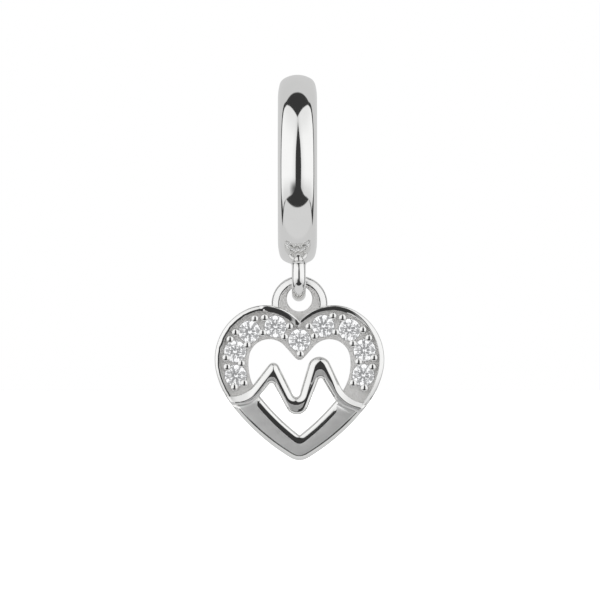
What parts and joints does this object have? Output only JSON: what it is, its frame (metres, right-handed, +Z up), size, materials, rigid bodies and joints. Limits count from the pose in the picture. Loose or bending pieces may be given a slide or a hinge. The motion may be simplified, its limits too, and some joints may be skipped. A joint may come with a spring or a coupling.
{
  "type": "heart charm",
  "caption": "Small silver heart pendant with round set stones and a wavy bar, hanging by its loop from a plain domed ring that slides on a bracelet.",
  "frame": {"origin": "top of the ring's hole, where it hangs on a bracelet, in the middle of its width", "axes": "+X along the ring's hole and across the heart, +Y from the heart's front to its back, +Z up"},
  "size_m": [0.01, 0.0112, 0.0227],
  "materials": {
    "silver": "polished sterling silver",
    "stone": "clear faceted cubic zirconia"
  },
  "bodies": {
    "ring": {"bail_ring": "silver"},
    "heart": {"heart_frame": "silver", "stone_1": "stone", "stone_2": "stone", "stone_3": "stone", "stone_4": "stone", "stone_5": "stone", "stone_6": "stone", "stone_7": "stone", "stone_8": "stone", "stone_9": "stone"}
  },
  "joints": [
    {"name": "heart_swing", "type": "hinge", "parent": "ring", "child": "heart", "pos_m": [0, 0, -0.01066], "axis": [1, 0, 0], "range_deg": [-90, 90]}
  ]
}
